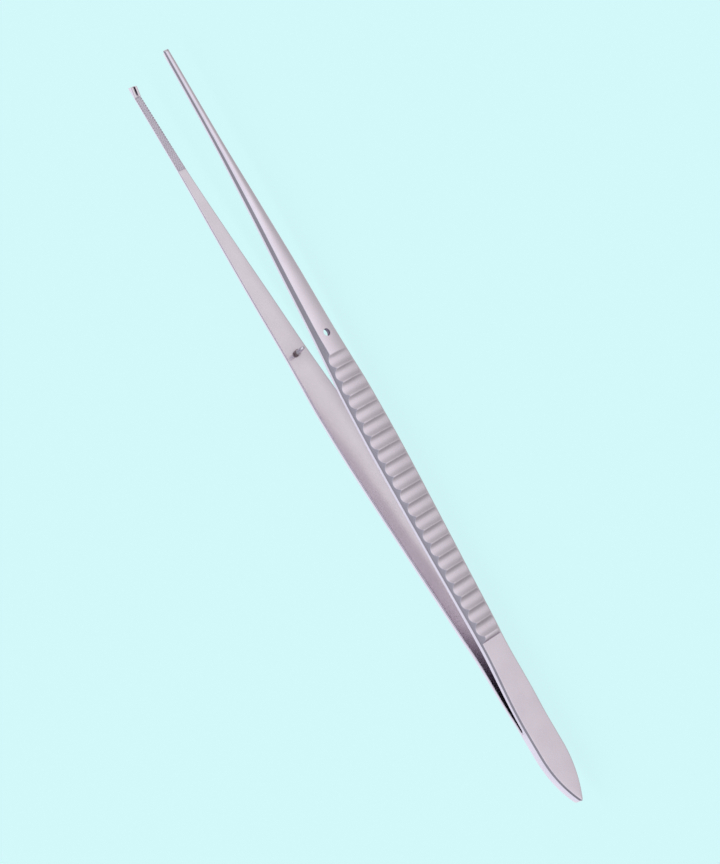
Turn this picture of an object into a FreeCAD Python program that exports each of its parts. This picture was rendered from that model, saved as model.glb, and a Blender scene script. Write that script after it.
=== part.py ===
import FreeCAD, Part
import math
import os

import Sketcher

# A pair of long thumb forceps with toothed tips, lying on its side.
# X runs along the forceps towards the tips, Z is up and is the width of the arms,
# and the arms spring apart along Y. The fluted face of the hole arm looks to -Y.
# Lengths are millimetres and angles are degrees. Stations are counted from the tail end.

DIMENSIONS = {
    # the pair
    "overall_length": 210.0,
    "weld_length": 21.0,
    "heel_radius": 60.0,
    "splay_angle": 4.6,
    "set_radius": 250.0,
    "spread_angle": 3.4,
    "bow_setback": 4.26,
    "bow_radius": 2000.0,
    "flank_angle": 45.0,
    # the pointed tail plate
    "tail_width": 8.65,
    "tail_thickness": 1.45,
    "tail_point_length": 14.5,
    "tail_nose_radius": 0.9,
    "tail_bevel": 0.2,
    "tail_length": 46.0,
    "step_run": 1.3,
    # the fluted grip
    "flute_pitch": 3.74,
    "flute_count": 21,
    "flute_depth": 0.58,
    "grip_thickness_back": 2.5,
    "grip_thickness_front": 2.25,
    # the guide pin, its bore in one arm and its hole in the other
    "pin_setback": 6.2,
    "pin_length": 5.1,
    "collar_radius": 0.82,
    "collar_length": 1.35,
    "collar_taper": 0.2,
    "shank_radius": 0.55,
    "point_radius": 0.35,
    "tenon_radius": 0.5,
    "tenon_clearance": 0.01,
    "tenon_end_gap": 0.05,
    "hole_clearance": 0.22,
    "hole_mouth": 0.6,
    # the toothed tips and the raised platforms behind them
    "platform_length": 23.9,
    "platform_rise": 0.16,
    "tooth_run": 1.9,
    "tooth_setback": 0.5,
    "tooth_height": 0.95,
    "tooth_front": 0.3,
    "notch_width": 0.56,
    "notch_depth": 0.2,
    "notch_clearance": 0.04,
    "nose_run": 1.1,
    "nose_drop": 0.5,
}

# Cross-sections of an arm, from the tail to the tip. Each has its station, the width across
# the flat inner face, the height of its side walls, the thickness at the edge of the outer
# face and the rise of that face's crown. The stations hang on the weld, the tail plate,
# the fluted grip, the pin and the tip, so the arm's outline goes where these go.
SECTIONS = {
    "tail_end": ("0", "tail_width", "tail_thickness - tail_bevel", 2.45, 0.04),
    "weld": ("weld_length", "tail_width", "tail_thickness - tail_bevel", 2.45, 0.04),
    "tail_widest": ("weld_length + 6", "tail_width", "tail_thickness - tail_bevel", 2.45, 0.04),
    "waist": ("tail_length - 3", 7.8, 1.08, 2.45, 0.04),
    "grip_back": ("tail_length + 4", 7.95, 0.92, 2.45, 0.04),
    "grip_middle": ("tail_length + 0.37 * flutes_length", 9.2, 0.88, 2.4, 0.05),
    "grip_widest": ("tail_length + 0.69 * flutes_length", 9.9, 0.86, 2.3, 0.06),
    "grip_front": ("tail_length + 0.866 * flutes_length", 9.35, 0.85, 2.24, 0.08),
    "shoulder": ("grip_end - 1.5", 8.15, 0.82, 2.12, 0.12),
    "pin_land": ("pin_station + 0.6", 7.1, 0.78, 1.76, 0.2),
    "neck": ("pin_station + 0.2 * reach", 5.75, 0.74, 1.52, 0.25),
    "beak": ("pin_station + 0.45 * reach", 3.85, 0.62, 1.3, 0.28),
    "jaw": ("pin_station + 0.7 * reach", 2.2, 0.48, 1.0, 0.22),
    "tip": ("overall_length", 1.75, 0.36, 0.82, 0.16),
}
SECTION_FIELDS = ("station", "width", "wall", "edge", "crown")

# Cuts start and end this far outside the metal.
MARGIN = "4"
# The forging is this much thicker on its inner side than the finished arm,
# so that the teeth are left standing when the inner face is cut.
INNER_ALLOWANCE = "(1.7 * tooth_height)"

# Two lengths this close, in millimetres, are the same.
SAME = 0.001

PIN_SIDE = 1
HOLE_SIDE = -1


def rise(station):
    """Expression for the distance of the inner face from the mid plane at a station.

    The face is flat along the weld, turns out on the heel arc and splays straight to the
    end of the tail. There the set turns it back a little, and it runs straight along the
    grip and then bows gently back towards the tips.
    """
    heel = f"heel_radius - sqrt(heel_radius ^ 2 - ({station} - weld_length) ^ 2)"
    splay = f"heel_rise + ({station} - heel_end) * splay_slope"
    into_set = f"(splay_sine - ({station} - tail_length) / set_radius)"
    turn = f"tail_rise + set_radius * (sqrt(1 - {into_set} ^ 2) - splay_cosine)"
    straight = f"set_rise + ({station} - set_end) * slope"
    into_bow = f"(sine - ({station} - straight_end) / bow_radius)"
    bow = f"straight_rise + bow_radius * (sqrt(1 - {into_bow} ^ 2) - cosine)"
    return (
        f"{station} <= weld_length ? 0 : ({station} <= heel_end ? {heel} : "
        f"({station} <= tail_length ? {splay} : ({station} <= set_end ? {turn} : "
        f"({station} <= straight_end ? {straight} : {bow}))))"
    )


def line_values():
    """Expressions for the line of the arms and the places along it."""
    return {
        "splay_sine": "sin(splay_angle * 1 deg)",
        "splay_cosine": "cos(splay_angle * 1 deg)",
        "splay_slope": "tan(splay_angle * 1 deg)",
        "sine": "sin(spread_angle * 1 deg)",
        "cosine": "cos(spread_angle * 1 deg)",
        "slope": "tan(spread_angle * 1 deg)",
        "flutes_length": "flute_pitch * flute_count",
        "grip_end": "tail_length + flutes_length",
        "pin_station": "grip_end + pin_setback",
        "reach": "overall_length - pin_station",
        "straight_end": "pin_station + bow_setback",
        "heel_end": "weld_length + heel_radius * splay_sine",
        "heel_rise": "heel_radius * (1 - splay_cosine)",
        "tail_rise": "heel_rise + (tail_length - heel_end) * splay_slope",
        "set_end": "tail_length + set_radius * (splay_sine - sine)",
        "set_rise": "tail_rise + set_radius * (cosine - splay_cosine)",
        "straight_rise": "set_rise + (straight_end - set_end) * slope",
    }


def section_values():
    """The cross-sections' own sizes, as expressions."""
    return {
        f"{name}_{field}": str(value)
        for name, row in SECTIONS.items()
        for field, value in zip(SECTION_FIELDS, row)
    }


def derived_values():
    """Expressions for the sizes and places that follow from the driving dimensions."""
    values = {}
    for name in SECTIONS:
        values[f"{name}_rise"] = rise(f"{name}_station")
        values[f"{name}_outer"] = (
            f"{name}_width - 2 * ({name}_edge - {name}_wall) / tan(flank_angle * 1 deg)"
        )
    values.update({
        "pin_rise": rise("pin_station"),
        "pin_land_thickness": "pin_land_edge + pin_land_crown",
        "hole_radius": "shank_radius + hole_clearance",
        "ramp_start": "overall_length - tooth_run",
        "ramp_rise": rise("ramp_start"),
        "platform_start": "ramp_start - platform_length",
        "platform_foot": rise("platform_start"),
        "apex_station": "overall_length - tooth_setback",
        "end_rise": rise("overall_length"),
        "end_thickness": "tip_edge + tip_crown",
        "tooth_width": "notch_width - 2 * notch_clearance",
        "plate_radius": "heel_radius - tail_thickness",
        "plate_heel_x": "heel_end - tail_thickness * splay_sine",
        "plate_heel_y": "heel_rise + tail_thickness * splay_cosine",
        "foot_x": "tail_length - tail_thickness * splay_sine",
        "foot_y": "tail_rise + tail_thickness * splay_cosine",
        "step_height": "grip_thickness_back - tail_thickness",
        "step_radius": "(step_run ^ 2 + step_height ^ 2) / (2 * step_height)",
        "ridge_x": "foot_x + step_run * splay_cosine - step_height * splay_sine",
        "ridge_y": "foot_y + step_run * splay_sine + step_height * splay_cosine",
        "ridge_fall": "atan((grip_thickness_back - grip_thickness_front) / flutes_length) / 1 deg",
        "ridge_angle": "spread_angle - ridge_fall",
        "flute_radius": "(flute_pitch ^ 2 / 4 + flute_depth ^ 2) / (2 * flute_depth)",
        "tail_half": "tail_end_width / 2",
        "point_run": "tail_point_length - tail_nose_radius",
        "leaf_radius": (
            "(point_run ^ 2 + tail_half ^ 2 - tail_nose_radius ^ 2)"
            " / (2 * (tail_half - tail_nose_radius))"
        ),
        "point_share": "tail_nose_radius / (leaf_radius - tail_nose_radius)",
        "point_x": "tail_nose_radius - point_share * point_run",
        "point_z": "point_share * (leaf_radius - tail_half)",
    })
    return values


def make_sheet(doc):
    """Writes the driving dimensions and the places that follow from them, each with an alias."""
    sheet = doc.addObject("Spreadsheet::Sheet", "dims")
    cells = {alias: str(value) for alias, value in DIMENSIONS.items()}
    for group in (line_values(), section_values(), derived_values()):
        cells.update({alias: f"={text}" for alias, text in group.items()})
    for number, (alias, content) in enumerate(cells.items(), start=1):
        sheet.set(f"A{number}", alias)
        sheet.set(f"B{number}", content)
        sheet.setAlias(f"B{number}", alias)
    doc.recompute()
    return sheet


def value_of(sheet, expression):
    """The number that an expression in the sheet's aliases stands for."""
    return float(sheet.evalExpression(expression))


def bound(expression, sheet):
    """The expression with each of the sheet's aliases written as dims.alias."""
    words = []
    word = ""
    for letter in expression + " ":
        if letter.isalnum() or letter == "_":
            word += letter
            continue
        if word:
            words.append(f"dims.{word}" if sheet.getCellFromAlias(word) else word)
            word = ""
        words.append(letter)
    return "".join(words).strip()


class Sketch:
    """A sketch with a closed outline whose sizes are bound to the sheet.

    Args:
        owner: The body whose origin plane carries the sketch, or the document for a free one.
        name: The sketch's name.
        role: The role of the body's origin plane, such as XY_Plane.
        side: 1 or -1, the side of the mid plane on which the outline lies.
    """

    def __init__(self, owner, name, role=None, side=1):
        self.side = side
        if role is None:
            self.sheet = owner.dims
            self.item = owner.addObject("Sketcher::SketchObject", name)
            return
        self.sheet = owner.Document.dims
        self.item = owner.newObject("Sketcher::SketchObject", name)
        origin_plane = next(part for part in owner.Origin.OriginFeatures if part.Role == role)
        self.item.AttachmentSupport = [(origin_plane, "")]
        self.item.MapMode = "FlatFace"

    def attach(self, **offsets):
        """Moves and turns the sketch on its plane: x, y, z in millimetres, about an axis."""
        axis = offsets.pop("axis", None)
        angle = offsets.pop("angle", None)
        if axis is not None:
            degrees = value_of(self.sheet, angle)
            self.item.AttachmentOffset = FreeCAD.Placement(
                FreeCAD.Vector(), FreeCAD.Rotation(axis, degrees))
            self.item.setExpression("AttachmentOffset.Rotation.Angle", bound(angle, self.sheet))
        for letter, expression in offsets.items():
            self.item.setExpression(f"AttachmentOffset.Base.{letter}", bound(expression, self.sheet))

    def dimension(self, name, kind, references, expression):
        """Adds a named driving constraint whose value is an expression."""
        value = value_of(self.sheet, expression)
        number = self.item.addConstraint(Sketcher.Constraint(kind, *references, value))
        self.item.renameConstraint(number, name)
        self.item.setExpression(f"Constraints.{name}", bound(expression, self.sheet))

    def outline(self, corners, mirrored="y"):
        """Draws a closed outline through named corners.

        Args:
            corners: Each corner is (name, x, y), with a radius expression as a fourth entry
                where the edge that leaves it is an arc. A negative radius turns clockwise.
            mirrored: The coordinate that changes sign on the other side of the mid plane.
        """
        turn_x = self.side if mirrored == "x" else 1
        turn_y = self.side if mirrored == "y" else 1
        flip = turn_x * turn_y
        places = []
        for name, x, y, *_ in corners:
            x_text = x if turn_x == 1 else f"-({x})"
            y_text = y if turn_y == 1 else f"-({y})"
            places.append((name, x_text, y_text))
        points = [
            FreeCAD.Vector(value_of(self.sheet, x), value_of(self.sheet, y), 0)
            for name, x, y in places
        ]
        for corner, start, end in zip(corners, points, points[1:] + points[:1]):
            if len(corner) == 3:
                self.item.addGeometry(Part.LineSegment(start, end), False)
            else:
                radius = value_of(self.sheet, corner[3]) * flip
                self.item.addGeometry(arc_between(start, end, radius), False)
        count = len(corners)
        ends = [start_and_end(edge) for edge in self.item.Geometry]
        reversed_edges = [
            (ends[number][0] - points[number]).Length > (ends[number][1] - points[number]).Length
            for number in range(count)
        ]
        first = [2 if swapped else 1 for swapped in reversed_edges]
        last = [1 if swapped else 2 for swapped in reversed_edges]
        for number in range(count):
            after = (number + 1) % count
            self.item.addConstraint(
                Sketcher.Constraint("Coincident", number, last[number], after, first[after]))
        for number, (name, x, y) in enumerate(places):
            self.dimension(f"{name}_x", "DistanceX", (-1, 1, number, first[number]), x)
            self.dimension(f"{name}_y", "DistanceY", (-1, 1, number, first[number]), y)
        for number, corner in enumerate(corners):
            if len(corner) > 3:
                self.dimension(f"{corner[0]}_radius", "Radius", (number,), f"abs({corner[3]})")

    def circle(self, name, x, y, radius):
        """Draws a circle whose centre and radius are expressions."""
        centre = FreeCAD.Vector(value_of(self.sheet, x), value_of(self.sheet, y), 0)
        size = value_of(self.sheet, radius)
        number = self.item.addGeometry(Part.Circle(centre, FreeCAD.Vector(0, 0, 1), size), False)
        self.dimension(f"{name}_x", "DistanceX", (-1, 1, number, 3), x)
        self.dimension(f"{name}_y", "DistanceY", (-1, 1, number, 3), y)
        self.dimension(f"{name}_radius", "Radius", (number,), radius)


def start_and_end(edge):
    """The two end points of a sketch edge."""
    return edge.StartPoint, edge.EndPoint


def arc_between(start, end, radius):
    """The shorter arc between two points, a left turn from start for a positive radius."""
    if radius < 0:
        start, end, radius = end, start, -radius
    chord = end - start
    left = FreeCAD.Vector(-chord.y, chord.x, 0).normalize()
    to_centre = math.sqrt(radius ** 2 - (chord.Length / 2) ** 2)
    centre = start + chord * 0.5 + left * to_centre
    first = math.atan2(start.y - centre.y, start.x - centre.x)
    last = math.atan2(end.y - centre.y, end.x - centre.x)
    if last < first:
        last += 2 * math.pi
    return Part.ArcOfCircle(Part.Circle(centre, FreeCAD.Vector(0, 0, 1), radius), first, last)


def pocket(body, sketch, name, length="2 * overall_length"):
    """Cuts a sketch's outline through the body, evenly to both sides of its plane."""
    before = body.Shape.Volume
    cut = body.newObject("PartDesign::Pocket", name)
    cut.Profile = sketch.item
    cut.Midplane = True
    cut.Type = 0
    cut.setExpression("Length", bound(length, sketch.sheet))
    body.Document.recompute()
    if cut.Shape.Volume == before:
        raise RuntimeError(f"{name} cuts nothing")
    return cut


def forging(doc, name, side):
    """The plain arm: a loft through flat-backed sections with sloping flanks and a crown."""
    across = FreeCAD.Rotation(FreeCAD.Vector(0, 1, 0), FreeCAD.Vector(0, 0, 1), FreeCAD.Vector(1, 0, 0))
    sections = []
    for label in SECTIONS:
        sketch = Sketch(doc, f"{name}_{label}", side=side)
        sketch.item.Placement = FreeCAD.Placement(FreeCAD.Vector(), across)
        sketch.item.setExpression("Placement.Base.x", f"dims.{label}_station")
        inner = f"{label}_rise - {INNER_ALLOWANCE}"
        wall = f"{label}_rise + {label}_wall"
        edge = f"{label}_rise + {label}_edge"
        half = f"{label}_width / 2"
        outer = f"{label}_outer / 2"
        crown = f"{label}_outer ^ 2 / (8 * {label}_crown) + {label}_crown / 2"
        sketch.outline([
            ("back_low", inner, f"-{half}"),
            ("wall_low", wall, f"-{half}"),
            ("edge_low", edge, f"-{outer}", crown),
            ("edge_high", edge, outer),
            ("wall_high", wall, half),
            ("back_high", inner, half),
        ], mirrored="x")
        sections.append(sketch.item)
    loft = doc.addObject("Part::Loft", f"{name}_forging")
    loft.Sections = sections
    loft.Solid = True
    loft.Ruled = False
    loft.Closed = False
    loft.MaxDegree = 2
    doc.recompute()
    return loft


def cut_inner_face(body, side):
    """Cuts the inner face along the arm's line and leaves the raised tooth at its end."""
    sketch = Sketch(body, "inner_face_profile", "XY_Plane", side)
    sketch.outline([
        ("tail", f"-{MARGIN}", "0"),
        ("weld", "weld_length", "0", "heel_radius"),
        ("heel", "heel_end", "heel_rise"),
        ("set", "tail_length", "tail_rise", "-set_radius"),
        ("grip", "set_end", "set_rise"),
        ("bow", "straight_end", "straight_rise", "-bow_radius"),
        ("platform_foot", "platform_start", "platform_foot"),
        ("platform_edge", "platform_start", "platform_foot - platform_rise", "-bow_radius"),
        ("ramp", "ramp_start", "ramp_rise - platform_rise"),
        ("apex", "apex_station", "end_rise - tooth_height"),
        ("front", "overall_length", "end_rise + tooth_front"),
        ("beyond", f"overall_length + {MARGIN}", "end_rise + tooth_front"),
        ("far_corner", f"overall_length + {MARGIN}", f"-{MARGIN}"),
        ("near_corner", f"-{MARGIN}", f"-{MARGIN}"),
    ])
    pocket(body, sketch, "inner_face")


def cut_tail_plate(body, side):
    """Thins the tail to a plain plate that ends in a short hollow ramp up to the grip."""
    sketch = Sketch(body, "tail_plate_profile", "XY_Plane", side)
    clear = f"ridge_y + {MARGIN}"
    sketch.outline([
        ("tail", f"-{MARGIN}", "tail_thickness"),
        ("weld", "weld_length", "tail_thickness", "plate_radius"),
        ("heel", "plate_heel_x", "plate_heel_y"),
        ("foot", "foot_x", "foot_y", "step_radius"),
        ("ridge", "ridge_x", "ridge_y"),
        ("clear_front", "ridge_x", clear),
        ("clear_back", f"-{MARGIN}", clear),
    ])
    pocket(body, sketch, "tail_plate")


def cut_tail_point(body):
    """Trims the tail to its pointed leaf outline with a small round nose."""
    sketch = Sketch(body, "tail_point_outline", "XZ_Plane")
    outside = f"tail_half + {MARGIN}"
    sketch.outline([
        ("side_high", "tail_widest_station", "tail_half"),
        ("leaf_high", "tail_point_length", "tail_half", "leaf_radius"),
        ("nose_high", "point_x", "point_z", "tail_nose_radius"),
        ("nose_low", "point_x", "-point_z", "leaf_radius"),
        ("leaf_low", "tail_point_length", "-tail_half"),
        ("side_low", "tail_widest_station", "-tail_half"),
        ("low_front", "tail_widest_station", f"-({outside})"),
        ("low_back", f"-{MARGIN}", f"-({outside})"),
        ("high_back", f"-{MARGIN}", outside),
        ("high_front", "tail_widest_station", outside),
    ])
    pocket(body, sketch, "tail_point")


def cut_flutes(body, side):
    """Cuts the row of hollow flutes across the outer face of the grip."""
    sketch = Sketch(body, "flute_profile", "XY_Plane", side)
    mirror = "" if side == 1 else "-"
    sketch.attach(
        axis=FreeCAD.Vector(0, 0, 1), angle=f"{mirror}(ridge_angle)",
        x="ridge_x", y=f"{mirror}(ridge_y)")
    sketch.circle("flute", "flute_pitch / 2", f"{mirror}(flute_radius - flute_depth)", "flute_radius")
    cut = pocket(body, sketch, "flute")
    flutes = body.newObject("PartDesign::LinearPattern", "flutes")
    flutes.Originals = [cut]
    flutes.Direction = (sketch.item, ["H_Axis"])
    flutes.setExpression("Length", "(dims.flute_count - 1) * dims.flute_pitch")
    flutes.setExpression("Occurrences", "dims.flute_count")
    body.Tip = flutes
    body.Document.recompute()


def cut_cross_hole(body, side, name, radius):
    """Drills a hole square through the arm at the guide pin's station."""
    sketch = Sketch(body, f"{name}_circle", "XZ_Plane", side)
    sketch.attach(
        axis=FreeCAD.Vector(0, 1, 0), angle="spread_angle" if side == 1 else "-spread_angle",
        x="pin_station", z="-pin_rise" if side == 1 else "pin_rise")
    sketch.circle(name, "0", "0", radius)
    pocket(body, sketch, name, "6 * pin_land_thickness")


def open_hole_mouth(body, name):
    """Bevels the guide hole's rim on the flat inner face, where the pin enters."""
    radius = value_of(body.Document.dims, "hole_radius")
    rims = [
        f"Edge{number}" for number, edge in enumerate(body.Shape.Edges, start=1)
        if isinstance(edge.Curve, Part.Circle) and abs(edge.Curve.Radius - radius) < SAME
    ]
    base = body.Tip
    mouth = body.newObject("PartDesign::Chamfer", name)
    mouth.Base = (base, rims)
    mouth.setExpression("Size", "dims.hole_mouth")
    body.Tip = mouth
    body.Document.recompute()


def cut_nose(body, side):
    """Rounds the outer corner of the arm's end."""
    sketch = Sketch(body, "nose_profile", "XY_Plane", side)
    start = "overall_length - nose_run"
    top = "end_rise + end_thickness"
    low = f"{top} - nose_drop"
    sketch.outline([
        ("start", start, top, "-(nose_run ^ 2 + nose_drop ^ 2) / (2 * nose_drop)"),
        ("end", "overall_length", low),
        ("end_clear", f"overall_length + {MARGIN}", low),
        ("high_clear", f"overall_length + {MARGIN}", f"{top} + {MARGIN}"),
        ("start_clear", start, f"{top} + {MARGIN}"),
    ])
    pocket(body, sketch, "nose")


def cut_notch(body, side):
    """Slots the raised end of the arm, which leaves two teeth side by side."""
    sketch = Sketch(body, "notch_profile", "XY_Plane", side)
    start = "ramp_start"
    sketch.outline([
        ("start", start, "ramp_rise"),
        ("end", f"overall_length + {MARGIN}", "end_rise + tooth_front + notch_depth"),
        ("end_clear", f"overall_length + {MARGIN}", "end_rise - 2 * tooth_height"),
        ("start_clear", start, "ramp_rise - 2 * tooth_height"),
    ])
    pocket(body, sketch, "notch", "notch_width")


def cut_tooth_sides(body):
    """Grinds both sides of the arm's end away, which leaves one tooth in the middle."""
    for name, sign in (("low", "-"), ("high", "")):
        sketch = Sketch(body, f"tooth_{name}_side", "XZ_Plane")
        sketch.outline([
            ("start", "ramp_start", f"{sign}(tip_width / 2)"),
            ("end", "overall_length", f"{sign}(tooth_width / 2)"),
            ("end_beyond", f"overall_length + {MARGIN}", f"{sign}(tooth_width / 2)"),
            ("end_clear", f"overall_length + {MARGIN}", f"{sign}(tip_width / 2 + {MARGIN})"),
            ("start_clear", "ramp_start", f"{sign}(tip_width / 2 + {MARGIN})"),
        ])
        pocket(body, sketch, f"tooth_{name}_relief")


def place_in_frame(body):
    """Puts the stations' zero at the tail end and stands the widest section on the table."""
    body.setExpression("Placement.Base.x", "-dims.overall_length / 2")
    body.setExpression("Placement.Base.z", "dims.grip_widest_width / 2")


def make_arm(doc, name, side):
    """One forged arm on its side of the mid plane.

    Args:
        doc: The document.
        name: The body's name, Label and file name.
        side: PIN_SIDE for the arm with the pin and two teeth, HOLE_SIDE for the other.
    """
    body = doc.addObject("PartDesign::Body", name)
    body.Label = name
    body.BaseFeature = forging(doc, name, side)
    doc.recompute()
    cut_inner_face(body, side)
    cut_tail_plate(body, side)
    cut_tail_point(body)
    cut_flutes(body, side)
    cut_nose(body, side)
    if side == PIN_SIDE:
        cut_cross_hole(body, side, "pin_bore", "tenon_radius + tenon_clearance")
        cut_notch(body, side)
    else:
        cut_cross_hole(body, side, "guide_hole", "hole_radius")
        open_hole_mouth(body, "guide_hole_mouth")
        cut_tooth_sides(body)
    place_in_frame(body)
    return body


def make_guide_pin(doc):
    """The turned pin: a tenon in the arm's bore, a collar on its inner face and a slim shank."""
    body = doc.addObject("PartDesign::Body", "guide_pin")
    body.Label = "guide_pin"
    sketch = Sketch(body, "pin_profile", "XY_Plane")
    tenon = "-(pin_land_thickness - tenon_end_gap)"
    sketch.outline([
        ("tenon_axis", "0", tenon),
        ("tenon_rim", "tenon_radius", tenon),
        ("seat_inner", "tenon_radius", "0"),
        ("seat_outer", "collar_radius", "0"),
        ("collar_end", "collar_radius", "collar_length"),
        ("taper_end", "shank_radius", "collar_length + collar_taper"),
        ("shank_end", "point_radius", "pin_length - point_radius", "point_radius"),
        ("point", "0", "pin_length"),
    ])
    turned = body.newObject("PartDesign::Revolution", "turned_pin")
    turned.Profile = sketch.item
    turned.ReferenceAxis = (sketch.item, ["V_Axis"])
    turned.Angle = 360.0
    facing = "180 + dims.spread_angle"
    body.Placement.Rotation = FreeCAD.Rotation(
        FreeCAD.Vector(0, 0, 1), value_of(doc.dims, "180 + spread_angle"))
    body.setExpression("Placement.Rotation.Angle", facing)
    body.setExpression("Placement.Base.x", "dims.pin_station - dims.overall_length / 2")
    body.setExpression("Placement.Base.y", "dims.pin_rise")
    body.setExpression("Placement.Base.z", "dims.grip_widest_width / 2")
    return body


def check_and_write(doc, bodies):
    """Stops on any failed object or bad shape, then writes each body to its own STEP file."""
    failed = [item.Name for item in doc.Objects if {"Invalid", "Error"} & set(item.State)]
    if failed:
        raise RuntimeError(f"failed objects: {failed}")
    for body in bodies:
        shape = body.Shape
        if shape.isNull() or not shape.isValid() or len(shape.Solids) != 1:
            raise RuntimeError(f"{body.Label} has a bad shape")
    os.makedirs("parts", exist_ok=True)
    for body in bodies:
        body.Shape.exportStep(f"parts/{body.Label}.step")
        box = body.Shape.BoundBox
        print(f"{body.Label}: {body.Shape.Volume:.2f} mm3, {len(body.Shape.Faces)} faces, "
              f"x {box.XMin:.3f} {box.XMax:.3f} y {box.YMin:.3f} {box.YMax:.3f} "
              f"z {box.ZMin:.3f} {box.ZMax:.3f}")


def main():
    """Builds the forceps and writes its parts."""
    doc = FreeCAD.newDocument("thumb_forceps")
    make_sheet(doc)
    bodies = [
        make_arm(doc, "pin_arm", PIN_SIDE),
        make_arm(doc, "hole_arm", HOLE_SIDE),
        make_guide_pin(doc),
    ]
    doc.recompute()
    check_and_write(doc, bodies)


main()
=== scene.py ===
"""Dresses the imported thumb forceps: both arms in satin steel, the guide pin, and a pale studio."""

import logging
import math
from dataclasses import dataclass, field
from enum import Enum, IntEnum

import bmesh
import bpy
import numpy as np
from mathutils import Matrix, Vector


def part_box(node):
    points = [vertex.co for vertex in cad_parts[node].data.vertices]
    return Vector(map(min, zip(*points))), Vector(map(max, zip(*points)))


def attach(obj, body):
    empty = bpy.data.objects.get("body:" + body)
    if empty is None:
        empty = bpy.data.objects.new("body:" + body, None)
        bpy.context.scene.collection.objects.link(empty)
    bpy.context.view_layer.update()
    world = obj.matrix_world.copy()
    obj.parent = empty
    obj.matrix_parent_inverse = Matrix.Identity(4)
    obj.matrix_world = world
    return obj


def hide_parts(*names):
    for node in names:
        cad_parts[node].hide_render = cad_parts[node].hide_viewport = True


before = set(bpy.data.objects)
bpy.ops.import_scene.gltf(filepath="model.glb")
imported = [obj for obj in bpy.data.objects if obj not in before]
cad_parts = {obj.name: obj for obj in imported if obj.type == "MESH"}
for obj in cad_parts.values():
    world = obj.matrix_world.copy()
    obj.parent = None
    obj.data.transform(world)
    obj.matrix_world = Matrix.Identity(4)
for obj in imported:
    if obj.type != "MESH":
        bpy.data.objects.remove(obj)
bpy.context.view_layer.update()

MM = 0.001
MERGE_DISTANCE = 1e-7
SHORTEST_EDGE = 1e-8
NEARLY_ZERO = 1e-6
SHARP_ANGLE = math.radians(38)
log = logging.getLogger("forceps")

Row = np.ndarray
Point = tuple[Row, Row]
Colour = tuple[float, float, float]


class Side(Enum):
    """The side of the mid plane on which an arm lies, as the sign of its Y."""

    PIN = 1
    HOLE = -1


class Tip(Enum):
    """How an arm's end is ground."""

    TWO_TEETH = "two teeth with a slot between"
    ONE_TOOTH = "one tooth in the middle"


class Surface(IntEnum):
    """The kinds of surface of an arm, in the order of its materials."""

    OUTSIDE = 0
    INSIDE = 1
    BORE = 2


def smooth_through(at: Row, stations: Row, values: Row) -> Row:
    """Reads a smooth curve through points that never overshoots between them.

    Args:
        at: The stations to read.
        stations: The points' stations, rising.
        values: The points' values.

    Returns:
        The curve's value at each station.
    """
    runs = np.diff(stations)
    slopes = np.diff(values) / runs
    tangents = np.zeros(len(values))
    tangents[0] = slopes[0]
    tangents[-1] = slopes[-1]
    before, after = slopes[:-1], slopes[1:]
    same_way = before * after > 0
    heavy, light = 2 * runs[1:] + runs[:-1], runs[1:] + 2 * runs[:-1]
    safe_before = np.where(same_way, before, 1.0)
    safe_after = np.where(same_way, after, 1.0)
    mean = (heavy + light) / (heavy / safe_before + light / safe_after)
    tangents[1:-1] = np.where(same_way, mean, 0.0)
    place = np.clip(np.searchsorted(stations, at) - 1, 0, len(runs) - 1)
    run = runs[place]
    t = np.clip((at - stations[place]) / run, 0.0, 1.0)
    return (
        values[place] * (1 + 2 * t) * (1 - t) ** 2
        + values[place + 1] * t ** 2 * (3 - 2 * t)
        + run * t * (1 - t) * (tangents[place] * (1 - t) - tangents[place + 1] * t)
    )


def eased(at: Row, start: float, end: float) -> Row:
    """Goes smoothly from 0 at start to 1 at end."""
    t = np.clip((at - start) / (end - start), 0.0, 1.0)
    return t * t * (3 - 2 * t)


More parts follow.
